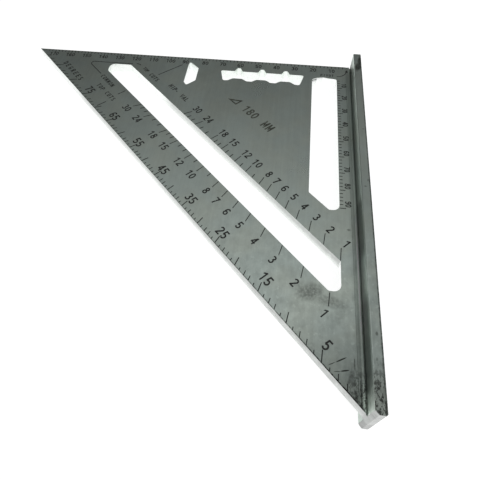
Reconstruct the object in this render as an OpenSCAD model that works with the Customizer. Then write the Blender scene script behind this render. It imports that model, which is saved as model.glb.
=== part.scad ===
// Rafter layout square: a triangular measuring plate with a T-section fence on one leg.
// Millimetres. Origin: the pivot corner, where the fence's inner face meets the ruler edge,
// on the marked face. +X away from the plate, +Y away from the plate, +Z up out of the marked face.

/* [Plate] */
// length of each leg, from the pivot corner to the tip
leg = 180; // [176:1:200]
// thickness of the plate
plate_t = 4.8; // [3:0.1:6]

/* [Fence] */
// thickness of the fence
fence_w = 3.9; // [3:0.1:5]
// height of the fence above the marked face
fence_up = 8.4; // [6:0.1:12]
// depth of the fence below the plate's underside
fence_down = 8.4; // [6:0.1:12]
// length of the slanted facet at the fence's lower end, measured across the fence
end_facet = 1.3; // [0.8:0.1:2]
// depth of the relief groove at the foot of the fence
groove = 0.7; // [0.2:0.1:1]
// radius of the fillet between the plate's underside and the fence
root_r = 2; // [1:0.1:3]

/* [Slots] */
// distance along a leg from the slanted edge to the near side of the long slot
slot_far = 30; // [28:0.5:32]
// distance along a leg across the long slot
slot_span = 18; // [16:0.5:19]
// clear distance from the fence to both slots beside it
web = 7.3; // [6.5:0.1:8]
// width of the slot that runs beside the fence
side_slot_w = 13; // [11:0.5:14]
// distance from the ruler edge to the bottom of the slot beside the fence
side_slot_end = 100; // [90:1:102]
// clear distance from the ruler edge to the slots below it
rim = 10.2; // [9.5:0.1:11]
// radius of the slots' round ends
slot_r = 2.9; // [2:0.1:3.5]

/* [Scales] */
// height of the degree numerals
degree_h = 4.3; // [3:0.1:4.4]
// height of the rafter numerals
rafter_h = 3.9; // [2.5:0.1:4]
// height of the ruler numerals
ruler_h = 2.9; // [2:0.1:3]
// width of a graduation line
line_w = 0.34; // [0.2:0.02:0.5]
// thickness of the black filling
ink = 0.05; // [0.03:0.01:0.1]

/* [Hidden] */
eps = 0.01;
metal = [0.47, 0.50, 0.48];
black = [0.12, 0.13, 0.12];
faded = [0.27, 0.29, 0.25];
near_sum = leg - slot_far;
far_sum = leg - slot_far - slot_span;
common_run = 12;
hip_run = 16.97;
rafter_steps = [30, 28, 26, 24, 22, 20, 18, 17, 16, 15, 14, 13, 12, 11, 10, 9, 8, 7, 6, 5, 4, 3, 2, 1];
rafter_labels = [30, 24, 18, 15, 12, 10, 8, 7, 6, 5, 4, 3, 2, 1];
diag = 1 / sqrt(2);
seat = 0.12;

// ---- outlines -------------------------------------------------------------------------------

function unit(v) = v / norm(v);

function arc(cx, cy, rx, ry, a0, a1, n = 10) =
  [for (i = [0:n]) let (a = a0 + (a1 - a0) * i / n) [cx + rx * cos(a), cy + ry * sin(a)]];

// points of one rounded corner of a closed outline, at vertex i with radius r
function corner(p, i, r) =
  let (
    n = len(p),
    b = p[i],
    u = unit(p[(i + n - 1) % n] - b),
    v = unit(p[(i + 1) % n] - b),
    half = acos(max(-1, min(1, u * v))) / 2,
    c = b + unit(u + v) * r / sin(half),
    s = b + u * r / tan(half) - c,
    e = b + v * r / tan(half) - c,
    turn = atan2(s.x * e.y - s.y * e.x, s * e),
    a0 = atan2(s.y, s.x),
    m = max(2, ceil(abs(turn) / 11))
  )
  r <= 0 ? [b] : [for (k = [0:m]) c + r * [cos(a0 + turn * k / m), sin(a0 + turn * k / m)]];

// closed outline with a radius at every corner: each entry is [x, y, r]
function rounded(q) =
  let (p = [for (w = q) [w[0], w[1]]])
  [for (i = [0:len(q) - 1]) each corner(p, i, q[i][2])];

// outline of a stroke of width t along an open path, with mitred bends
function stroke(p, t) =
  let (
    n = len(p),
    d = [for (i = [0:n - 2]) unit(p[i + 1] - p[i])],
    m = [for (i = [0:n - 1])
      let (a = d[max(i - 1, 0)], b = d[min(i, n - 2)], s = unit(a + b))
      [-s.y, s.x] / max(0.45, s * b)]
  )
  concat(
    [for (i = [0:n - 1]) p[i] + m[i] * t / 2],
    [for (i = [n - 1:-1:0]) p[i] - m[i] * t / 2]
  );

// ---- numerals and capitals in a cell of height 1 and width 0.56 --------------------------------

pen = 0.155;
lo = pen / 2;
hi = 1 - pen / 2;
rt = 0.56 - pen / 2;

module bowl(cx, cy, rx, ry, n = 20) {
  difference() {
    polygon(arc(cx, cy, rx + lo, ry + lo, 0, 360 - 360 / n, n - 1));
    polygon(arc(cx, cy, rx - lo, ry - lo, 0, 360 - 360 / n, n - 1));
  }
}

module line(p) {
  polygon(stroke(p, pen));
}

module digit(d) {
  if (d == 0) bowl(0.28, 0.5, 0.2, hi - 0.5, 24);
  if (d == 1) polygon([[0.27, 0], [0.41, 0], [0.41, 1], [0.3, 1], [0.06, 0.82], [0.06, 0.67], [0.27, 0.79]]);
  if (d == 2) {
    line(concat(arc(0.28, 0.72, 0.2, hi - 0.72, 165, -30), [[0.09, 0.08]]));
    line([[0.03, lo], [0.53, lo]]);
  }
  if (d == 3) {
    line(arc(0.27, 0.74, 0.18, hi - 0.74, 150, -88));
    line(arc(0.27, 0.3, 0.21, 0.3 - lo, 88, -152));
  }
  if (d == 4) {
    line([[0.4, 0.97], [0.07, 0.27]]);
    line([[0.01, 0.28], [0.56, 0.28]]);
    line([[0.4, 0], [0.4, 1]]);
  }
  if (d == 5) {
    line([[0.51, hi], [0.15, hi], [0.1, 0.48]]);
    line(arc(0.28, 0.32, 0.21, 0.32 - lo, 142, -152));
  }
  if (d == 6 || d == 9) {
    translate(d == 9 ? [0.56, 1] : [0, 0])
      rotate(d == 9 ? 180 : 0) {
        bowl(0.28, 0.3, 0.2, 0.3 - lo);
        line(arc(0.32, 0.5, 0.24, hi - 0.5, 48, 190));
      }
  }
  if (d == 7) line([[0.03, hi], [0.5, hi], [0.36, 0.6], [0.22, 0]]);
  if (d == 8) {
    bowl(0.28, 0.74, 0.17, hi - 0.74, 16);
    bowl(0.28, 0.28, 0.2, 0.28 - lo);
  }
}

module capital(c) {
  if (c == "-") line([[0.08, 0.42], [0.42, 0.42]]);
  if (c == "I") line([[0.28, 0], [0.28, 1]]);
  if (c == "O") bowl(0.28, 0.5, 0.21, hi - 0.5, 24);
  if (c == "L" || c == "E") line([[lo, 1], [lo, lo], [0.54, lo]]);
  if (c == "E") line([[lo, hi], [0.54, hi]]);
  if (c == "E" || c == "H") line([[lo, 0.52], [c == "H" ? rt : 0.48, 0.52]]);
  if (c == "H" || c == "N" || c == "M") {
    line([[lo, 0], [lo, 1]]);
    line([[rt, 0], [rt, 1]]);
  }
  if (c == "N") line([[lo, 0.97], [rt, 0.03]]);
  if (c == "M") line([[lo, 0.95], [0.28, 0.3], [rt, 0.95]]);
  if (c == "V") line([[0.03, 1], [0.28, 0.08], [0.53, 1]]);
  if (c == "A") {
    line([[0.03, 0], [0.28, 0.92], [0.53, 0]]);
    line([[0.13, 0.3], [0.43, 0.3]]);
  }
  if (c == "T") {
    line([[0.01, hi], [0.55, hi]]);
    line([[0.28, 0], [0.28, hi]]);
  }
  if (c == "P" || c == "R" || c == "D") line([[lo, 0], [lo, 1]]);
  if (c == "P" || c == "R") line(concat([[lo, hi]], arc(0.28, 0.72, 0.21, hi - 0.72, 90, -90), [[lo, 0.72 * 2 - hi]]));
  if (c == "R") line([[0.26, 0.5], [0.5, 0]]);
  if (c == "D") line(concat([[lo, hi]], arc(0.22, 0.5, 0.27, hi - 0.5, 90, -90), [[lo, lo]]));
  if (c == "C" || c == "G") line(arc(0.3, 0.5, 0.23, hi - 0.5, 48, 312, 16));
  if (c == "G") line([[0.3, 0.43], [0.49, 0.43], [0.49, 0.12]]);
  if (c == "S") line(concat(arc(0.28, 0.735, 0.2, hi - 0.735, 35, 262), arc(0.28, 0.27, 0.2, 0.27 - lo, 82, -145)));
  if (c == "U") line(concat([[lo, 1]], arc(0.28, 0.28, 0.28 - lo, 0.28 - lo, 180, 360), [[rt, 1]]));
}

// a printed word or number, centred on the local origin
module print(s, h, digits = false, gap = 0.08) {
  step = 0.56 + gap;
  wide = len(s) * step - gap;
  linear_extrude(height = ink)
    for (i = [0:len(s) - 1])
      translate([(i * step - wide / 2) * h, -h / 2])
        scale(h) {
          if (digits) digit(ord(s[i]) - 48);
          else capital(s[i]);
        }
}

// one straight graduation or rule on the marked face
module rule(a, b, w = line_w) {
  linear_extrude(height = ink) polygon(stroke([a, b], w));
}

// point where the ray from the pivot at angle a from the fence meets the line x + y = -s
function on_line(a, s) = let (t = tan(a)) [-s * t / (1 + t), -s / (1 + t)];

// ---- main solids ------------------------------------------------------------------------------

module long_slot() {
  polygon(rounded([
    [-133.6, -rim, 3], [rim - far_sum, -rim, 0.8], [-web, web - far_sum, 0.8],
    [-web, -leg + 42, slot_r], [leg - 42 - near_sum, -leg + 42, 1.2], [-133.6, 133.6 - near_sum, 3]
  ]));
}

module side_slot() {
  x0 = -web - side_slot_w;
  polygon(rounded([
    [x0, -rim - 2.2, 1], [x0 + 2.6, -rim - 0.6, 1.5], [x0 + 6, -rim - 0.1, 3], [x0 + 9, -rim - 0.7, 3],
    [-web, -rim - 1.1, 1], [-web, -side_slot_end, slot_r],
    [side_slot_end - 111.7, -side_slot_end, 1], [x0, -111.7 - x0, 0.8]
  ]));
}

// wavy slot below the ruler edge: three notches in its upper side, scallops in its lower side
module grip_slot() {
  pitch = 12.9;
  first = -60.4;
  top = -9.8;
  notches = [for (i = [0:2]) let (x = first + i * pitch) each [
    [x - 2.2, top, 0.5], [x - 1, top + 2.8, 0.5], [x + 1, top + 2.8, 0.5], [x + 2.2, top, 0.5]
  ]];
  scallops = [for (i = [2:-1:0]) let (x = first + i * pitch) each [
    [x + 5, -18, 1], [x + 2.6, -16.1, 2.5], [x - 2.6, -16.1, 2.5], [x - 5, -18, 1]
  ]];
  polygon(rounded(concat(
    [[-70.2, top, 0.8]], notches, [[-24.7, top, 1]], [[-26.9, -18.4, 1.2]], scallops, [[-68.2, -18.4, 1.2]]
  )));
}

module small_slot() {
  polygon(rounded([
    [-89.1, -3.4, 0.9], [-83, -9.3, 1.5], [-83, -20, 1.5], [-87.4, -24.4, 0.8], [-89.1, -22, 1]
  ]));
}

module blade() {
  color(metal)
    difference() {
      union() {
        translate([0, 0, -plate_t])
          linear_extrude(height = plate_t)
            difference() {
              polygon([[seat, 0], [-leg, 0], [seat, -leg - seat]]);
              long_slot();
              side_slot();
              grip_slot();
              small_slot();
            }
        // fillet under the plate, along the fence
        intersection() {
          rotate([90, 0, 0])
            linear_extrude(height = leg)
              polygon(concat(
                [[seat, 1 - plate_t], [-root_r, 1 - plate_t]],
                [for (p = arc(-root_r, -plate_t - root_r, root_r, root_r, 90, 0, 8)) p],
                [[seat, -plate_t - root_r]]
              ));
          translate([0, 0, -plate_t - root_r - 1])
            linear_extrude(height = root_r + 2)
              polygon([[seat, 0], [-leg, 0], [seat, -leg - seat]]);
        }
      }
      // relief groove at the foot of the fence, with a small slope on its outer side
      rotate([90, 0, 0])
        translate([0, 0, -1])
          linear_extrude(height = leg + 2)
            polygon([[-0.45, 1], [-0.45, 0], [-0.36, -groove], [1, -groove], [1, 1]]);
      // shallow drawn band beside the fence
      rotate([90, 0, 0])
        translate([0, 0, -1])
          linear_extrude(height = leg + 2)
            polygon([[-2.5, 1], [-2.5, 0], [-2.4, -0.06], [-1.1, -0.06], [-1, 0], [-1, 1]]);
    }
}

// upright bar; its inner face is stepped back a little where the plate runs into it
module fence() {
  lowz = -plate_t - fence_down;
  color(metal)
    intersection() {
      rotate([90, 0, 0])
        translate([0, 0, -1])
          linear_extrude(height = leg + fence_w + 2)
            polygon(rounded([
              [0, fence_up, 0.35], [0, 0.16, 0], [seat, 0.04, 0], [seat, -plate_t - root_r, 0],
              [0, -plate_t - root_r, 0], [0, lowz, 1.1], [fence_w, lowz, 1.1], [fence_w, fence_up, 0.5]
            ]));
      translate([0, 0, lowz - 1])
        linear_extrude(height = fence_up - lowz + 2)
          polygon([
            [0, 0], [0, -leg], [end_facet, -leg - end_facet], [fence_w - 0.6, -leg - end_facet],
            [fence_w, -leg - end_facet + 0.6], [fence_w, 0]
          ]);
    }
}

// ---- graduations ------------------------------------------------------------------------------

module degree_ticks() {
  color(black)
    for (a = [2:1:88]) {
      r = a % 5;
      depth = r == 0 ? 3.7 : r == 2 || r == 3 ? 2.1 : 1.3;
      rule(on_line(a, leg - 0.3), on_line(a, leg - depth / diag), r == 0 ? line_w * 1.15 : line_w);
    }
}

module degree_numerals() {
  color(black)
    for (a = [5:10:75]) {
      past = a < 20 ? 2.3 : a < 40 ? 2 : 1.6;
      p = a > 45 ? on_line(a, leg) + [diag, diag] * 5.35 : on_line(a, leg - 3.7 / diag) + [diag, diag] * past;
      translate(p + [-diag, diag] * (a == 25 ? 0.7 : 0.15))
        rotate(-45)
          print(str(a), degree_h, true, 0.12);
    }
}

// rafter graduations: foot on the line x + y = -s, running out by sign (+1 away from the pivot)
module rafter_marks(s, run, out) {
  for (n = rafter_steps) {
    a = atan(n / run);
    is_long = len([for (k = rafter_labels) if (k == n) k]) > 0;
    d = is_long ? 4.5 : 2.4;
    rule(on_line(a, s + 0.3 * out), on_line(a, s + out * d / diag), is_long ? line_w : line_w * 1.15);
  }
}

// numbers beyond the long graduations; the high ones sit by the shift aside, down the slope
module rafter_numbers(s, run, out, past, shift) {
  for (n = rafter_labels) {
    p = on_line(atan(n / run), s + out * 4.5 / diag);
    aside = n == 1 && out > 0 ? 1 : n >= (out > 0 ? 15 : 10) ? shift : 0;
    translate(p - [diag, diag] * past * out + [diag, -diag] * aside)
      rotate(-45)
        print(str(n), rafter_h, true, 0.11);
  }
}

module common_ticks() {
  color(black) rafter_marks(near_sum, common_run, 1);
}

module common_numerals() {
  color(black) rafter_numbers(near_sum, common_run, 1, 3.2, -0.7);
}

module hip_val_ticks() {
  color(black) rafter_marks(far_sum, hip_run, -1);
}

module hip_val_numerals() {
  color(black) rafter_numbers(far_sum, hip_run, -1, 3.05, 0.6);
}

module edge_ticks() {
  color(black)
    for (x = [4:2:174])
      rule([-x, -0.3], [-x, x % 10 == 0 ? -2.5 : -1.9], 0.3);
}

module edge_numerals() {
  color(black)
    for (x = [10:10:170])
      if (x != 90)
        translate([-x, -4.2])
          print(str(x), ruler_h, true);
  // the number above the small slot sits closer to the edge
  color(black)
    translate([-91.4, -4.2])
      print("90", ruler_h, true);
}

module slot_ticks() {
  color(black)
    for (i = [1:44]) {
      y = -10.6 - 2 * i;
      rule([-web + 0.2, y], [i % 5 == 4 ? -4.6 : -5.7, y], 0.32);
    }
}

module slot_numerals() {
  color(black)
    for (i = [1:9])
      translate([-3.6, -6.2 - 10 * i])
        rotate(-90)
          print(str(10 * i), 2.6, true);
}

// ---- headings ---------------------------------------------------------------------------------

module degree_heading() {
  color(black) translate([-153.2, -18.8]) rotate(-45) print("DEGREES", 3, false, 0.48);
}

module common_heading() {
  color(black) {
    translate([-131, -25.6]) rotate(-45) print("COMMON", 2.6, false, 0.26);
    translate([-133.2, -31.2]) rotate(-45) print("TOP", 2.6, false, 0.3);
  }
}

module hip_val_heading() {
  color(black) {
    translate([-93.2, -28.2]) rotate(-45) print("HIP-", 2.8, false, 0.14);
    translate([-86.2, -35.3]) rotate(-45) print("VAL", 2.8, false, 0.2);
  }
}

module cuts_heading() {
  color(black) {
    translate([-112.2, -13.7]) rotate(-45) print("TOP", 2.2, false, 0.16);
    translate([-106, -20]) rotate(-45) print("CUTS", 2.6, false, 0.22);
    translate([-125.9, -38.2]) rotate(-45) print("CUTS", 2.6, false, 0.3);
  }
}

module pivot_mark() {
  color(black) {
    translate([-12.4, -8.3]) print("PIVOT", 1.9, false, 0.22);
    linear_extrude(height = ink) {
      polygon(stroke(arc(-7.4, -3.4, 5.4, 5.4, -88, -12, 12), 0.35));
      polygon([[-1.6, -2.6], [-2.9, -4.4], [-1.3, -4.6]]);
    }
  }
}

module leader_lines() {
  color(black)
    linear_extrude(height = ink) {
      polygon(stroke(concat([[-136.6, -19.8], [-144.8, -11.7]], arc(-143.6, -10.5, 1.4, 1.4, 215, 95, 5), [[-121, -9.1]]), 0.4));
      polygon(stroke(arc(-118.6, -12.2, 3.4, 3.4, 95, 42, 6), 0.4));
      polygon(stroke([[-104.2, -17.4], [-92.6, -7]], 0.4));
      polygon(stroke([[-122.2, -36.2], [-118.9, -32.9]], 0.4));
      polygon(stroke([[-130.6, -46.4], [-126.9, -42.8]], 0.4));
    }
}

// plain size mark in the middle of the plate: a small triangle outline and the leg length
module size_mark() {
  color(faded) {
    translate([-59.5, -33.6])
      rotate(-45)
        linear_extrude(height = ink)
          difference() {
            polygon([[-3, -2.4], [3.4, -2.4], [3.4, 2.6]]);
            polygon([[-0.6, -1.7], [2.7, -1.7], [2.7, 0.9]]);
          }
    translate([-50.6, -42.6]) rotate(-45) print(str(leg), 5, true, 0.14);
    translate([-41.2, -52]) rotate(-45) print("MM", 5, false, 0.14);
  }
}

blade();
fence();
degree_ticks();
degree_numerals();
degree_heading();
common_ticks();
common_numerals();
common_heading();
hip_val_ticks();
hip_val_numerals();
hip_val_heading();
cuts_heading();
edge_ticks();
edge_numerals();
slot_ticks();
slot_numerals();
pivot_mark();
leader_lines();
size_mark();
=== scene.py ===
"""Rafter layout square: worn mill-finish aluminium plate with a T-section fence and black scales.

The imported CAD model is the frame. The plate and the fence are rebuilt from their CAD meshes with broken
edges; the filled markings stay as they are and get worn-ink materials. Everything is in metres unless a
comment says millimetres.
"""
import math

import bmesh
import bpy
from mathutils import Matrix, Vector


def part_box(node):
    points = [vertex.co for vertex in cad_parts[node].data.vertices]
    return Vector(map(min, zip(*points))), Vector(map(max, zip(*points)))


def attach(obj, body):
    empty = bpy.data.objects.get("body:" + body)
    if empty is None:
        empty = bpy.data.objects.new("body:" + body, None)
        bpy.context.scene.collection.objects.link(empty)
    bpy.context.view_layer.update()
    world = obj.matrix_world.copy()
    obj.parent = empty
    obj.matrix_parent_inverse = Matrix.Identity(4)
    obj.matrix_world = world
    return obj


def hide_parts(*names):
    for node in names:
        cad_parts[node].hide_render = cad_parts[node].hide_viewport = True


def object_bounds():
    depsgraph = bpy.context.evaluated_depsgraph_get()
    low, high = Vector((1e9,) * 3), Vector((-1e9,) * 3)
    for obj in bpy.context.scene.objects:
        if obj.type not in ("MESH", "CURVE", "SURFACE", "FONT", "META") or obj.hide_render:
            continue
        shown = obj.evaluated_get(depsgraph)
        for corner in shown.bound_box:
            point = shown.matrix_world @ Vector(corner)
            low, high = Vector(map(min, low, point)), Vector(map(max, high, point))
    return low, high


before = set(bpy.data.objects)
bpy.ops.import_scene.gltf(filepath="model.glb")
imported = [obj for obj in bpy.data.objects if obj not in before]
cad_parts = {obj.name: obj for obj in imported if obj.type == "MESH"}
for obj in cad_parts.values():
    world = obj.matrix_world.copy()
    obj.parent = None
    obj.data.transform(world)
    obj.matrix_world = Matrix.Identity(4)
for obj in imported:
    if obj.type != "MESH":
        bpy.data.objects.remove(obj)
CAD_LO, CAD_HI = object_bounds()
MM = 0.001

scene = bpy.context.scene
scene.view_settings.view_transform = "Standard"
scene.view_settings.look = "None"
scene.view_settings.exposure = 0.0
scene.view_settings.gamma = 1.0

BLADE_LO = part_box("blade")[0]
FENCE_LO, FENCE_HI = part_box("fence")
LEG = -BLADE_LO.x
CLEAR_OF_FENCE = -0.1  # x beyond which the plate has no fillet under it
PLATE_T = -min(v.co.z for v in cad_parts["blade"].data.vertices if v.co.x < CLEAR_OF_FENCE)


# ---- camera: the photograph's viewing angle ------------------------------------------------------

CAMERA_PLACE = Vector((-39.08, -214.25, 146.23)) * MM
CAMERA_FORWARD = Vector((-0.10775, 0.56607, -0.81728))
CAMERA_RIGHT = Vector((0.98881, 0.14631, -0.02903))
LENS_MM = 32.2155
SENSOR_MM = 36.0
CAMERA_SHIFT = (0.0519, -0.0351)


def make_camera():
    data = bpy.data.cameras.new("camera")
    cam = bpy.data.objects.new("camera", data)
    scene.collection.objects.link(cam)
    forward = CAMERA_FORWARD.normalized()
    right = (CAMERA_RIGHT - forward * CAMERA_RIGHT.dot(forward)).normalized()
    up = right.cross(forward).normalized()
    turn = Matrix((right, up, -forward)).transposed()
    cam.matrix_world = Matrix.Translation(CAMERA_PLACE) @ turn.to_4x4()
    data.sensor_width = SENSOR_MM
    data.lens = LENS_MM
    data.shift_x, data.shift_y = CAMERA_SHIFT
    data.clip_start = 0.005
    data.clip_end = 50.0
    data.dof.use_dof = False
    scene.camera = cam


make_camera()


# ---- tables for the materials --------------------------------------------------------------------

METAL = (0.56, 0.635, 0.585)
COOL = (0.985, 1.0, 1.01)  # tints of the metal, as factors
WARM = (1.01, 1.0, 0.98)
CUT_METAL = (0.968, 1.0, 0.972)
GRIME = (0.03, 0.034, 0.028)
BLACK_INK = (0.012, 0.014, 0.012)
FADED_INK = (0.034, 0.038, 0.026)
FLOOR_TONES = ((0.34, 0.34, 0.34), (0.36, 0.36, 0.36))

# noise: stretch (a small number draws it out along that axis), scale, detail, roughness, distortion
DRAWN = (1.0, 0.03, 1.0)
PATTERNS = {
    "cloud": (None, 26.0, 3.0, 0.55, 0.4),
    "tint": (None, 60.0, 2.0, 0.5, 0.0),
    "blotch": (None, 210.0, 3.0, 0.6, 0.0),
    "mottle": ((1.0, 0.55, 1.0), 420.0, 3.0, 0.6, 0.0),
    "fleck": (None, 640.0, 2.0, 0.5, 0.0),
    "pits": (None, 700.0, 2.0, 0.6, 0.0),
    "patchy": (None, 900.0, 4.0, 0.65, 0.0),
    "speck": (None, 1500.0, 2.0, 0.6, 0.0),
    "black": ((1.0, 0.4, 1.0), 1500.0, 4.0, 0.7, 0.0),
    "band": (DRAWN, 700.0, 2.0, 0.5, 0.0),
    "grain": (DRAWN, 2300.0, 2.0, 0.5, 0.0),
    "mill": ((0.02, 0.02, 1.0), 6500.0, 2.0, 0.6, 0.0),
    "ink_coarse": (None, 380.0, 3.0, 0.6, 0.0),
    "ink_fine": (None, 2600.0, 3.0, 0.65, 0.0),
    "ink_rub": ((1.0, 0.05, 1.0), 3500.0, 2.0, 0.5, 0.0),
    "floor": (None, 6.0, 2.0, 0.5, 0.0),
}
# noise level where patches of a pattern begin, and where they are full
PATCHES = {
    "tint": (0.35, 0.65),
    "fleck": (0.60, 0.70),
    "pits": (0.70, 0.76),
    "patchy": (0.36, 0.60),
    "black": (0.46, 0.56),
    "ink_coarse": (0.35, 0.65),
}

# size of a normal's part along an axis where a face starts to count as facing that way, and fully does
LEVEL = (0.55, 0.9)
ACROSS_GRAIN = (0.25, 0.6)
TOWARDS_PLATE = (-0.8, -0.95)
FRONT_BY_Y = (-0.78, -0.93)
FRONT_BY_X = (-0.86, -0.96)

# the metal's brightness: what it starts from, and what each feature adds or takes off
BARE_SHADE = 0.84
CLOUD_GAIN = 0.22
FLECK_GAIN = 0.14
LINE_GAIN = 0.11
BAND_GAIN = 0.12
# painted highlight: a bright line on the plate beside the groove
LIP_HIGHLIGHT_GAIN = 0.72
# painted highlight along the fence's rounded inner top corner
INNER_HIGHLIGHT_GAIN = 0.30
DRAWN_BAND_DROP = 0.09
FAR_CORNER_FACTOR = 0.88
OUTER_CORNER_DROP = (0.34, 0.62)  # clean, patchy
# painted light at the lower end of the fence's inner face, and a painted reflection of the solid plate on
# that face
END_LIGHT_DROP = -0.4  # below zero: brighter
SOLID_REFLECTION_DROP = 0.54
# painted shade on the fence's lower leg, under the plate
LEG_SHADE_DROP = 0.28
EDGE_LINE_DROP = 0.42
# at the far end, and at the used lower end
MOTTLE_GAIN = (0.14, 0.50)
BLOTCH_GAIN = (0.10, 0.46)
MOTTLE_BUMP = (0.35, 1.2)
SPECK_ROUGH = (0.02, 0.06)
# painted light on cut faces: at the used end and at the far end
CUT_HIGH = (0.53, 0.66)
CUT_LOW = (0.60, 0.90)
CUT_FRONT_LIGHT = 1.06
CUT_BY_FENCE = 0.44

# roughness and bump
CUT_ROUGH = (0.30, 0.22)  # facing sideways, facing the front
CLOUD_ROUGH = 0.16
DIRT_ROUGH = 0.22
DIRT_DULLS = 0.55
LINE_BUMP = 0.3
DIRT_BUMP = 0.3

# the markings
INK_ROUGH = 0.48
FINE_ROUGH = 0.18
RUB_SHARE = 0.12  # of the drawn noise in the wear
WEAR_STEP = 0.07  # noise level from the start of wear to its most
MOST_WORN = 0.55
BARE_METALLIC = 0.9

TIP = (-1.5 * MM, -176.0 * MM, 0.0)
TIP_REACH = (40.0 * MM, 3.0 * MM)
RIM_LINE_REACH = (0.85 * MM, 0.45 * MM)

# dull smudges left by use on the marked face, in millimetres and degrees:
# x, y, half length, half width, turn, strength
SMUDGES = [
    (-19.0, -139.4, 6.6, 4.2, 24, 0.56),
    (-11.0, -142.5, 8.0, 3.0, -12, 0.38),
    (-22.5, -138.0, 4.5, 3.6, 0, 0.22),
    (-8.0, -147.5, 4.2, 2.2, 70, 0.20),
    (-3.5, -164.2, 2.6, 0.35, 89, 0.75),
    (-4.6, -168.5, 3.0, 1.3, 80, 0.55),
    (-3.3, -174.6, 3.2, 0.8, 86, 0.95),
    (-1.5, -172.0, 2.9, 0.6, 90, 0.90),
    (-5.2, -170.0, 2.2, 0.8, 60, 0.60),
    (-3.7, -109.5, 1.1, 0.7, 0, 0.55),
]
# black grease on the top of the fence, same columns
GREASE = [
    (1.2, -175.7, 1.5, 0.6, 70, 0.60),
    (2.6, -177.4, 1.3, 0.6, 50, 0.80),
    (3.0, -174.6, 2.6, 0.7, 86, 0.60),
    (2.0, -172.8, 5.5, 1.5, 88, 0.38),
    (3.3, -180.0, 1.8, 0.5, 88, 0.85),
    (3.3, -168.0, 7.0, 0.5, 89, 0.50),
    (3.4, -152.0, 5.0, 0.4, 90, 0.50),
    (2.0, -156.0, 0.9, 0.6, 90, 0.55),
    (1.5, -164.6, 0.8, 0.5, 80, 0.45),
    (2.9, -7.0, 7.0, 1.5, 88, 1.0),
    (2.0, -11.0, 5.5, 2.2, 78, 1.0),
    (0.8, -20.5, 4.0, 0.9, 88, 0.30),
    (2.9, -89.0, 1.0, 0.5, 80, 0.45),
    (1.6, -92.5, 0.7, 0.5, 0, 0.50),
    (2.4, -58.0, 0.8, 0.5, 0, 0.40),
]
# thin dark scratches on the marked face, same columns
SCRATCHES = [
    (-11.0, -165.1, 1.5, 0.20, 28, 0.85),
    (-7.9, -163.4, 2.5, 0.30, 30, 1.0),
    (-9.2, -167.5, 1.5, 0.17, 10, 0.80),
    (-6.7, -166.9, 1.8, 0.32, 15, 1.0),
    (-31.0, -118.0, 3.4, 0.08, 62, 0.30),
    (-58.0, -96.0, 4.0, 0.08, -20, 0.25),
]


# ---- node-building helpers -----------------------------------------------------------------------

class Nodes:
    """Builds a shader tree with short calls; sockets or plain numbers go in, a socket comes out."""

    def __init__(self, tree):
        self.tree = tree

    def put(self, socket, value):
        if isinstance(value, bpy.types.NodeSocket):
            self.tree.links.new(value, socket)
        else:
            socket.default_value = value

    def new(self, kind, **settings):
        node = self.tree.nodes.new(kind)
        for key, value in settings.items():
            setattr(node, key, value)
        return node

    def math(self, op, *values, clamp=False):
        node = self.new("ShaderNodeMath", operation=op, use_clamp=clamp)
        for socket, value in zip(node.inputs, values):
            self.put(socket, value)
        return node.outputs[0]

    def add(self, a, b):
        return self.math("ADD", a, b)

    def sub(self, a, b):
        return self.math("SUBTRACT", a, b)

    def mul(self, first, *others):
        total = first
        for value in others:
            total = self.math("MULTIPLY", total, value)
        return total

    def largest(self, first, *others):
        total = first
        for value in others:
            total = self.math("MAXIMUM", total, value)
        return total

    def dimmed(self, value, amount):
        """value with a fraction of it taken off."""
        return self.mul(value, self.sub(1.0, amount))

    def swing(self, noise, amount):
        """Noise moved to lie around zero, times amount."""
        return self.mul(self.sub(noise, 0.5), amount)

    def fade(self, fac, a, b):
        """a where fac is 0, b where fac is 1, for plain numbers or number sockets."""
        return self.math("MULTIPLY_ADD", fac, self.math("SUBTRACT", b, a), a)

    def span(self, value, lo, hi, out_lo=0.0, out_hi=1.0, smooth=True):
        """Goes from out_lo to out_hi while value goes from lo to hi, which may lie below lo."""
        node = self.new("ShaderNodeMapRange", interpolation_type="SMOOTHSTEP" if smooth else "LINEAR")
        self.put(node.inputs["Value"], value)
        for name, v in (("From Min", lo), ("From Max", hi), ("To Min", out_lo), ("To Max", out_hi)):
            self.put(node.inputs[name], v)
        return node.outputs["Result"]

    def split(self, vector):
        node = self.new("ShaderNodeSeparateXYZ")
        self.put(node.inputs[0], vector)
        return node.outputs

    def vmath(self, op, a, b=None):
        node = self.new("ShaderNodeVectorMath", operation=op)
        self.put(node.inputs[0], a)
        if b is not None:
            self.put(node.inputs[1], b)
        return node.outputs["Value"] if op in ("LENGTH", "DOT_PRODUCT") else node.outputs[0]

    def scaled(self, vector, factor):
        node = self.new("ShaderNodeVectorMath", operation="SCALE")
        self.put(node.inputs[0], vector)
        self.put(node.inputs["Scale"], factor)
        return node.outputs[0]

    def mix(self, fac, a, b):
        """Colour a where fac is 0, b where fac is 1; a plain colour is three numbers."""
        node = self.new("ShaderNodeMix", data_type="RGBA", blend_type="MIX")
        self.put(node.inputs[0], fac)
        for index, value in ((6, a), (7, b)):
            self.put(node.inputs[index], (*value, 1.0) if isinstance(value, tuple) else value)
        return node.outputs[2]

    def bump(self, height, strength, distance):
        node = self.new("ShaderNodeBump")
        node.inputs["Strength"].default_value = strength
        node.inputs["Distance"].default_value = distance
        self.put(node.inputs["Height"], height)
        return node.outputs[0]


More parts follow.
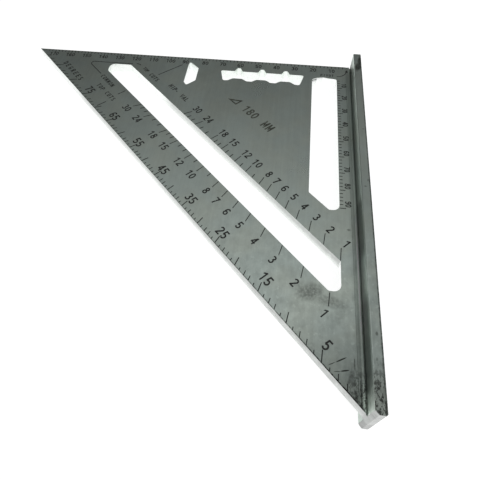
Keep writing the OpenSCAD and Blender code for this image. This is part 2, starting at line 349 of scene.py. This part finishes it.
class Surface(Nodes):
    """A material's tree, with noise and marks laid over the object."""

    def __init__(self, tree):
        super().__init__(tree)
        self.here = self.new("ShaderNodeTexCoord").outputs["Object"]

    def pattern(self, name):
        stretch, *settings = PATTERNS[name]
        where = self.here
        if stretch is not None:
            mapping = self.new("ShaderNodeMapping", vector_type="POINT")
            self.put(mapping.inputs["Vector"], self.here)
            mapping.inputs["Scale"].default_value = stretch
            where = mapping.outputs[0]
        node = self.new("ShaderNodeTexNoise")
        self.put(node.inputs["Vector"], where)
        for key, value in zip(("Scale", "Detail", "Roughness", "Distortion"), settings):
            node.inputs[key].default_value = value
        return node.outputs[0]

    def patches(self, name):
        return self.span(self.pattern(name), *PATCHES[name])

    def ovals(self, marks, core):
        """The strongest of several soft ovals; each is full inside core, 0 to 1 of its radius squared."""
        total = None
        for x, y, half_l, half_w, turn, strength in marks:
            c = math.cos(math.radians(turn))
            s = math.sin(math.radians(turn))
            local = self.vmath("SUBTRACT", self.here, (x * MM, y * MM, 0.0))
            along = self.vmath("DOT_PRODUCT", local, (c / (half_l * MM), s / (half_l * MM), 0.0))
            across = self.vmath("DOT_PRODUCT", local, (-s / (half_w * MM), c / (half_w * MM), 0.0))
            far = self.add(self.mul(along, along), self.mul(across, across))
            spot = self.span(far, 1.0, core, 0.0, strength)
            total = spot if total is None else self.largest(total, spot)
        return total


class MetalSurface(Surface):
    """The aluminium's tree, with the masks and patterns that its features share.

    across, along and height span x, y and z between two places given in millimetres.
    """

    def __init__(self, tree):
        super().__init__(tree)
        self.nx, self.ny, self.nz = self.split(self.new("ShaderNodeNewGeometry").outputs["True Normal"])
        self.px, self.py, self.pz = self.split(self.here)
        self.flat = self.span(self.math("ABSOLUTE", self.nz), *LEVEL)
        self.upper = self.span(self.nz, *LEVEL)
        # faces made by sawing or milling across the drawn direction
        sawn = self.span(self.math("ABSOLUTE", self.ny), *ACROSS_GRAIN)
        sawn = self.largest(sawn, self.across(-1.5, -2.5))
        self.cut = self.mul(self.sub(1.0, self.flat), sawn)
        self.front = self.largest(self.span(self.ny, *FRONT_BY_Y), self.span(self.nx, *FRONT_BY_X))
        self.low = self.height(4.0, 2.0)
        self.used = self.along(-85.0, -150.0)
        self.cloud = self.pattern("cloud")
        self.mottle = self.pattern("mottle")
        self.patchy = self.patches("patchy")
        # drawn lines on extruded faces, mill marks on cut ones
        drawn = self.sub(self.pattern("grain"), 0.5)
        milled = self.sub(self.pattern("mill"), 0.5)
        self.lines = self.fade(self.cut, drawn, milled)

    def across(self, lo, hi, *out):
        return self.span(self.px, lo * MM, hi * MM, *out)

    def along(self, lo, hi, *out):
        return self.span(self.py, lo * MM, hi * MM, *out)

    def height(self, lo, hi, **how):
        return self.span(self.pz, lo * MM, hi * MM, **how)


def new_material(name, kind=Surface):
    mat = bpy.data.materials.new(name)
    mat.use_nodes = True
    mat.node_tree.nodes.clear()
    n = kind(mat.node_tree)
    shader = n.new("ShaderNodeBsdfPrincipled")
    out = n.new("ShaderNodeOutputMaterial")
    n.put(out.inputs["Surface"], shader.outputs[0])
    return mat, n, shader


# ---- the metal's features ------------------------------------------------------------------------

def grime(n):
    """Share of dirt: smudges and grease broken up by noise, pits, and thin dark scratches."""
    black = n.patches("black")
    near_tip = n.mul(n.along(-162.0, -175.0), n.across(-8.5, -2.5))
    smudge = n.mul(n.ovals(SMUDGES, 0.0), n.low)
    grease = n.mul(n.ovals(GREASE, 0.1), n.height(4.0, 6.0))
    grease_gaps = n.along(-150.0, -120.0, 0.50, 0.90)
    dirt = n.largest(
        n.mul(smudge, n.fade(n.patchy, 0.35, 1.0)),
        n.mul(grease, n.fade(black, grease_gaps, 1.0)),
        n.mul(near_tip, black, 0.95),
        n.mul(n.patches("pits"), n.fade(near_tip, 0.12, 0.5)),
        n.mul(n.ovals(SCRATCHES, 0.3), n.low),
    )
    return n.math("MULTIPLY", dirt, n.upper, clamp=True)


def bare_shade(n):
    """Clouds, mottling towards the used lower end, drawn grain, and the drawn band by the fence's foot."""
    shade = n.add(BARE_SHADE, n.mul(n.cloud, CLOUD_GAIN))
    shade = n.add(shade, n.swing(n.mottle, n.fade(n.used, *MOTTLE_GAIN)))
    shade = n.add(shade, n.swing(n.pattern("blotch"), n.fade(n.used, *BLOTCH_GAIN)))
    shade = n.add(shade, n.mul(n.patches("fleck"), n.used, FLECK_GAIN))
    shade = n.add(shade, n.mul(n.lines, LINE_GAIN))
    shade = n.add(shade, n.swing(n.pattern("band"), BAND_GAIN))
    drawn_band = n.mul(n.across(-2.55, -2.35), n.across(-0.95, -1.1), n.upper)
    shade = n.sub(shade, n.mul(drawn_band, DRAWN_BAND_DROP))
    return n.mul(shade, n.across(-95.0, -150.0, 1.0, FAR_CORNER_FACTOR))


def groove_lip(n, shade):
    """Painted highlight: a bright lip beside the relief groove, stronger towards the used end."""
    lip = n.mul(n.across(-1.5, -0.85), n.across(-0.38, -0.44))
    lip = n.mul(lip, n.along(-30.0, -150.0, 0.35, 1.35), n.upper)
    return n.add(shade, n.mul(lip, LIP_HIGHLIGHT_GAIN))


def fence_corners(n, shade):
    """Painted highlight along the fence's rounded inner top corner, and a darker outer corner along the top
    of the fence.
    """
    inner = n.mul(n.across(0.55, 0.35), n.height(8.0, 8.25), n.along(-90.0, -165.0))
    outer = n.mul(n.across(3.05, 3.35), n.height(7.6, 8.0))
    # painted highlight where the rounded inner corner catches the light
    shade = n.add(shade, n.mul(inner, INNER_HIGHLIGHT_GAIN))
    return n.sub(shade, n.mul(outer, n.fade(n.patchy, *OUTER_CORNER_DROP)))


def inner_face_painted_shade(n, shade):
    """Painted shade on the inner face: darker towards its foot by the plate (shade with some patina), and
    darker still where solid plate stands opposite instead of a slot (a painted reflection); painted light at
    its lower end.
    """
    face = n.mul(n.across(-0.2, -0.02), n.span(n.nx, *TOWARDS_PLATE))
    # painted shade growing towards the foot, in the crease by the plate, with some patina
    foot = n.mul(face, n.height(7.6, 0.3, smooth=False))
    foot_shade_strength = n.along(-34.0, -12.0, 0.68, 0.82)
    # painted light: at the lower end the face is brightened instead
    painted_end_light = n.along(-171.5, -176.5)
    shade = n.dimmed(shade, n.mul(foot, n.fade(painted_end_light, foot_shade_strength, END_LIGHT_DROP)))
    # painted reflection: the face is darker where it mirrors solid plate rather than the floor through a
    # slot
    solid_middle = n.mul(n.along(-94.0, -100.0), n.along(-127.0, -121.0))
    solid_end = n.mul(n.along(-139.0, -145.0), n.along(-176.0, -166.0))
    solid = n.mul(n.largest(solid_middle, solid_end), face, n.height(8.3, 6.5))
    return n.dimmed(shade, n.mul(solid, SOLID_REFLECTION_DROP))


def fence_darkening(n, shade):
    """The fence's top darkens towards its lower end, and its lower leg, below the plate, is darkened all
    over with painted shade.
    """
    # the top is darker in two steps towards the lower end
    worn = n.add(n.along(-60.0, -100.0, 0.0, 0.20), n.along(-140.0, -172.0, 0.0, 0.16))
    shade = n.dimmed(shade, n.mul(worn, n.height(7.8, 8.3)))
    # painted shade on the lower leg, under the plate
    leg = n.mul(n.across(-0.3, -0.05), n.height(-5.5, -6.5))
    return n.dimmed(shade, n.mul(leg, LEG_SHADE_DROP))


def tip_and_edge_lines(n, shade):
    """Darkened lower tip, and dark lines along the slanted edge and the ruler edge."""
    gap = n.vmath("LENGTH", n.vmath("SUBTRACT", n.here, TIP))
    tip = n.mul(n.span(gap, *TIP_REACH), n.upper, n.low)
    shade = n.dimmed(shade, n.mul(tip, n.across(-1.5, -4.0, 0.30, 0.53)))
    rim_gap = n.add(n.add(n.px, n.py), LEG)
    slanted = n.mul(n.span(rim_gap, *RIM_LINE_REACH), n.height(-0.3, -0.05))
    slanted = n.mul(slanted, n.mul(n.fade(n.patchy, 0.35, 1.0), n.along(-60.0, -155.0, 0.45, 1.4)))
    ruler = n.mul(n.along(-0.6, -0.3), n.across(0.0, -1.0))
    return n.sub(shade, n.mul(n.largest(slanted, ruler), n.upper, EDGE_LINE_DROP))


def cut_face_painted_light(n):
    """Painted light on cut faces: brighter low down, towards the far end and where they face the front, and
    lower on the fence's own cut ends.
    """
    high = n.fade(n.along(-165.0, -35.0), *CUT_HIGH)
    low = n.fade(n.along(-165.0, -110.0), *CUT_LOW)
    bright = n.fade(n.height(-1.2, -4.6), high, low)
    # painted light: cut faces that face the front, and those near the ruler end, are brightened most
    bright = n.fade(n.largest(n.front, n.along(-42.0, -32.0)), bright, CUT_FRONT_LIGHT)
    return n.fade(n.across(-0.9, -0.2), bright, CUT_BY_FENCE)


# ---- materials -----------------------------------------------------------------------------------

def metal_material(name, rough_top, rough_side):
    """Mill-finish aluminium: drawn grain along the fence, clouding, grime, painted light on cut faces,
    painted highlights, painted shade and a painted reflection.
    """
    mat, n, shader = new_material(name, MetalSurface)
    dirt = grime(n)
    shade = bare_shade(n)
    for feature in (groove_lip, fence_corners, inner_face_painted_shade, fence_darkening, tip_and_edge_lines):
        shade = feature(n, shade)
    cool = tuple(c * k for c, k in zip(METAL, COOL))
    warm = tuple(c * k for c, k in zip(METAL, WARM))
    colour = n.mix(n.patches("tint"), cool, warm)
    # cut faces take a paler colour scaled by painted light
    colour = n.mix(n.cut, colour, n.scaled(CUT_METAL, cut_face_painted_light(n)))
    n.put(shader.inputs["Base Color"], n.mix(dirt, n.scaled(colour, shade), GRIME))
    n.put(shader.inputs["Metallic"], n.sub(1.0, n.mul(dirt, DIRT_DULLS)))

    rough = n.fade(n.flat, rough_side, rough_top)
    rough = n.fade(n.cut, rough, n.fade(n.front, *CUT_ROUGH))
    rough = n.add(rough, n.swing(n.cloud, CLOUD_ROUGH))
    rough = n.add(rough, n.swing(n.pattern("speck"), n.fade(n.used, *SPECK_ROUGH)))
    n.put(shader.inputs["Roughness"], n.math("ADD", rough, n.mul(dirt, DIRT_ROUGH), clamp=True))

    relief = n.mul(n.lines, LINE_BUMP)
    relief = n.add(relief, n.swing(n.mottle, n.fade(n.used, *MOTTLE_BUMP)))
    relief = n.add(relief, n.mul(dirt, DIRT_BUMP))
    n.put(shader.inputs["Normal"], n.bump(relief, strength=0.22, distance=0.04 * MM))
    return mat


def ink_material(name, colour, wear_from, wear_all_over):
    """Filled marking, worn through to the metal in places and a little matt."""
    mat, n, shader = new_material(name)
    fine = n.pattern("ink_fine")
    bare = n.add(n.mul(n.pattern("ink_coarse"), 0.5), n.mul(fine, 0.5))
    bare = n.add(bare, n.mul(n.pattern("ink_rub"), RUB_SHARE))
    bare = n.span(bare, wear_from, wear_from + WEAR_STEP, 0.0, MOST_WORN)
    bare = n.math("ADD", bare, wear_all_over, clamp=True)
    lighter = tuple(c * 1.6 + 0.004 for c in colour)
    tone = n.mix(n.patches("ink_coarse"), colour, lighter)
    n.put(shader.inputs["Base Color"], n.mix(bare, tone, METAL))
    n.put(shader.inputs["Metallic"], n.mul(bare, BARE_METALLIC))
    n.put(shader.inputs["Roughness"], n.add(INK_ROUGH, n.mul(fine, FINE_ROUGH)))
    n.put(shader.inputs["Normal"], n.bump(fine, strength=0.3, distance=0.02 * MM))
    return mat


plate_metal = metal_material("plate_aluminium", rough_top=0.30, rough_side=0.24)
fence_metal = metal_material("fence_aluminium", rough_top=0.30, rough_side=0.46)
black_ink = ink_material("black_fill_worn", BLACK_INK, wear_from=0.66, wear_all_over=0.0)
faded_ink = ink_material("faded_grey_print", FADED_INK, wear_from=0.62, wear_all_over=0.03)


# ---- the two metal pieces, rebuilt with broken edges ---------------------------------------------

MERGE = 2e-7  # CAD corners closer than this are one
TINY = 1e-8
ON_PLANE = 1e-6
BREAK_FROM = math.radians(40)  # edges sharper than this may be rounded off
CREASE_FROM = math.radians(24)  # edges sharper than this stay sharp in the shading
SQUARE_ON = 0.99999  # a face whose normal lies this close to an axis is shaded flat
BIG_FACE = 4e-5  # so is one with a larger area than this
ROUND_STEPS = 2


def broken_edges(source, name, width, wanted):
    """A copy of a CAD node's mesh whose chosen sharp edges are rounded, with smooth arcs and flat faces."""
    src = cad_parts[source].data
    bm = bmesh.new()
    verts = [bm.verts.new(v.co) for v in src.vertices]
    for p in src.polygons:
        try:
            bm.faces.new([verts[i] for i in p.vertices])
        except ValueError:
            pass  # the same face twice
    bmesh.ops.remove_doubles(bm, verts=bm.verts, dist=MERGE)
    bmesh.ops.dissolve_degenerate(bm, dist=TINY, edges=bm.edges)
    bmesh.ops.recalc_face_normals(bm, faces=bm.faces)
    bm.normal_update()
    paired = [e for e in bm.edges if len(e.link_faces) == 2]
    chosen = [e for e in paired if e.calc_face_angle(0.0) > BREAK_FROM and wanted(e)]
    bmesh.ops.bevel(bm, geom=chosen, offset=width, offset_type="OFFSET", segments=ROUND_STEPS,
                    profile=0.5, affect="EDGES", clamp_overlap=True)
    bmesh.ops.dissolve_degenerate(bm, dist=TINY, edges=bm.edges)
    bm.normal_update()
    for f in bm.faces:
        f.smooth = max(abs(c) for c in f.normal) < SQUARE_ON and f.calc_area() < BIG_FACE
    for e in bm.edges:
        if len(e.link_faces) == 2 and e.calc_face_angle(0.0) > CREASE_FROM:
            e.smooth = False
    mesh = bpy.data.meshes.new(name)
    bm.to_mesh(mesh)
    bm.free()
    piece = bpy.data.objects.new(name, mesh)
    scene.collection.objects.link(piece)
    return piece


def at_height(e, z):
    return all(abs(v.co.z - z) < ON_PLANE for v in e.verts)


def plate_edge(e):
    """The outlines of the plate's two faces, but not the groove and the seat by the fence."""
    if max(v.co.x for v in e.verts) > -0.7 * MM:
        return False
    return at_height(e, 0.0) or at_height(e, -PLATE_T)


def fence_edge(e):
    """The outlines of the fence's two ends, but not along its inner face."""
    if min(v.co.x for v in e.verts) < 0.2 * MM:
        return False
    at_far_end = all(abs(v.co.y - FENCE_HI.y) < ON_PLANE for v in e.verts)
    at_clipped_end = all(v.co.y < FENCE_LO.y + 1.4 * MM for v in e.verts)
    return at_far_end or at_clipped_end


plate = broken_edges("blade", "plate_body", 0.16 * MM, plate_edge)
plate.data.materials.append(plate_metal)
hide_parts("blade")
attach(plate, "root")

rail = broken_edges("fence", "fence_bar", 0.12 * MM, fence_edge)
rail.data.materials.append(fence_metal)
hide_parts("fence")
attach(rail, "root")

for node_name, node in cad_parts.items():
    if node_name in ("blade", "fence"):
        continue
    node.data.materials.clear()
    node.data.materials.append(faded_ink if node_name == "size_mark" else black_ink)


# ---- floor, light and surroundings ---------------------------------------------------------------

FLOOR_HALF = 3.0
FLOOR_STEPS = 12
FLOOR_GAP = 0.02 * MM  # keeps the floor just clear of the part
FLOOR_GLOW = 0.88
FOOT_X = 1.1 * MM  # where the fence's lower leg touches the floor
BEHIND = (0.94, 0.94, 0.94, 1.0)
# the room's brightness by the direction's z: 0 at the horizon and below, 1 straight up
ROOM = [
    (0.0, 0.10),
    (0.50, 0.11),
    (0.60, 0.135),
    (0.66, 0.235),
    (0.73, 0.36),
    (0.80, 0.47),
    (0.90, 0.58),
    (1.0, 0.62),
]


def make_floor():
    """Pale floor under the fence's foot and the plate's far tip, where the real square touches the table."""
    slope = (FENCE_LO.z + PLATE_T) / (FOOT_X + LEG)
    offsets = [(2 * i / FLOOR_STEPS - 1) * FLOOR_HALF for i in range(FLOOR_STEPS + 1)]
    bm = bmesh.new()
    rows = []
    for dx in offsets:
        z = FENCE_LO.z + slope * dx - FLOOR_GAP
        rows.append([bm.verts.new((FOOT_X + dx, dy - LEG / 2, z)) for dy in offsets])
    for near, far in zip(rows, rows[1:]):
        for j in range(FLOOR_STEPS):
            bm.faces.new((near[j], far[j], far[j + 1], near[j + 1]))
    mesh = bpy.data.meshes.new("floor")
    bm.to_mesh(mesh)
    bm.free()
    floor = bpy.data.objects.new("floor", mesh)
    scene.collection.objects.link(floor)
    mat, n, shader = new_material("pale_floor")
    n.put(shader.inputs["Base Color"], n.mix(n.pattern("floor"), *FLOOR_TONES))
    shader.inputs["Roughness"].default_value = 0.9
    shader.inputs["Specular IOR Level"].default_value = 0.2
    shader.inputs["Emission Color"].default_value = (1.0, 1.0, 1.0, 1.0)
    shader.inputs["Emission Strength"].default_value = FLOOR_GLOW
    floor.data.materials.append(mat)


def soft_light(name, place, target, size, energy):
    data = bpy.data.lights.new(name, "AREA")
    data.shape = "RECTANGLE"
    data.size = size
    data.size_y = size
    data.energy = energy
    lamp = bpy.data.objects.new(name, data)
    lamp.location = place
    lamp.rotation_mode = "QUATERNION"
    lamp.rotation_quaternion = (Vector(target) - Vector(place)).to_track_quat("-Z", "Y")
    scene.collection.objects.link(lamp)


def make_world():
    """Studio room, dim low down and brighter overhead; plain and pale where the camera sees it."""
    world = bpy.data.worlds.new("studio")
    scene.world = world
    world.use_nodes = True
    world.node_tree.nodes.clear()
    n = Nodes(world.node_tree)
    up = n.split(n.new("ShaderNodeTexCoord").outputs["Generated"])[2]
    ramp = n.new("ShaderNodeValToRGB")
    while len(ramp.color_ramp.elements) < len(ROOM):
        ramp.color_ramp.elements.new(0.5)
    for element, (at, value) in zip(ramp.color_ramp.elements, ROOM):
        element.position = at
        element.color = (value, value, value, 1.0)
    n.put(ramp.inputs[0], up)
    room = n.new("ShaderNodeBackground")
    n.put(room.inputs["Color"], ramp.outputs[0])
    behind = n.new("ShaderNodeBackground")
    behind.inputs["Color"].default_value = BEHIND
    mix = n.new("ShaderNodeMixShader")
    n.put(mix.inputs[0], n.new("ShaderNodeLightPath").outputs["Is Camera Ray"])
    n.put(mix.inputs[1], room.outputs[0])
    n.put(mix.inputs[2], behind.outputs[0])
    out = n.new("ShaderNodeOutputWorld")
    n.put(out.inputs["Surface"], mix.outputs[0])


make_floor()
centre = (CAD_LO + CAD_HI) / 2
soft_light("softbox_front", place=(0.30, -1.20, 0.80), target=centre, size=1.4, energy=6.0)
soft_light("softbox_side", place=(1.1, -0.45, 0.9), target=centre, size=0.7, energy=3.0)
make_world()
